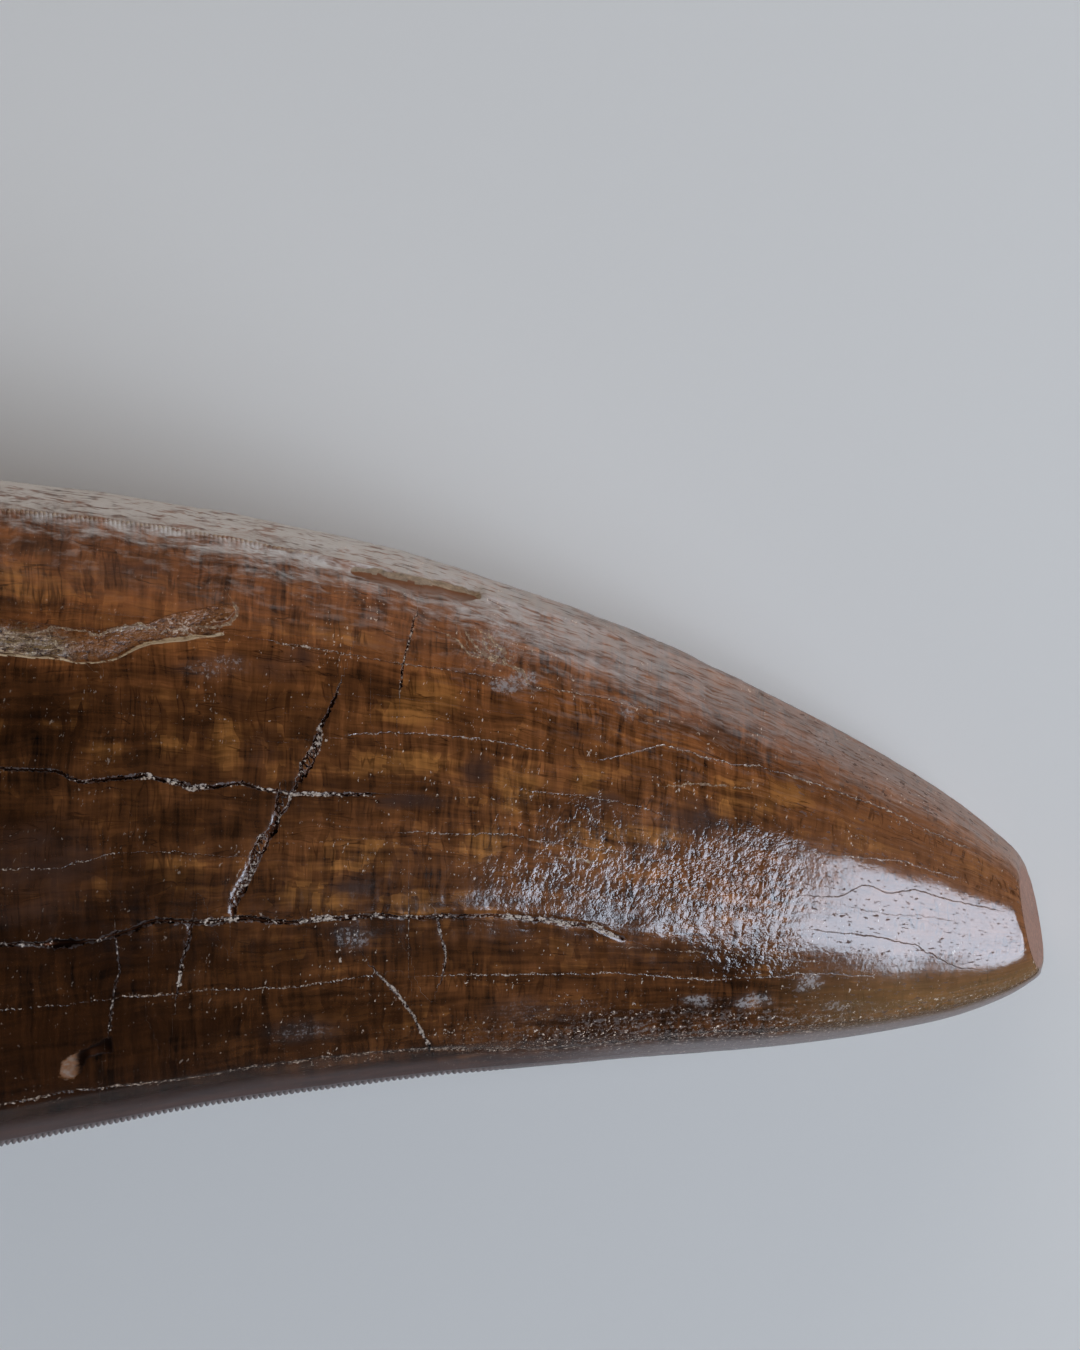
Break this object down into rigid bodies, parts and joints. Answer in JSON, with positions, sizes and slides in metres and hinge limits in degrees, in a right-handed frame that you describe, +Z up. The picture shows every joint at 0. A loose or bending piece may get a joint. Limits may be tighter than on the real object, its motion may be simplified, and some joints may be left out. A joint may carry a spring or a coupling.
{
  "type": "fossil tyrannosaur tooth",
  "caption": "Large curved fossil tooth lying on its side: a thick cracked brown crown with fine serrated edges, a worn tip and a broken base.",
  "frame": {"origin": "middle of the tooth's footprint, on the surface that it lies on", "axes": "+X along the tooth towards its tip, +Y towards its long convex front edge, +Z up from the side that it lies on"},
  "size_m": [0.1132, 0.0552, 0.0376],
  "materials": {
    "fossil_enamel": "polished dark brown fossil enamel with amber patches, fine cross lines and hairline cracks, duller at the broken base"
  },
  "bodies": {
    "root": {"tooth": "fossil_enamel"}
  },
  "joints": []
}
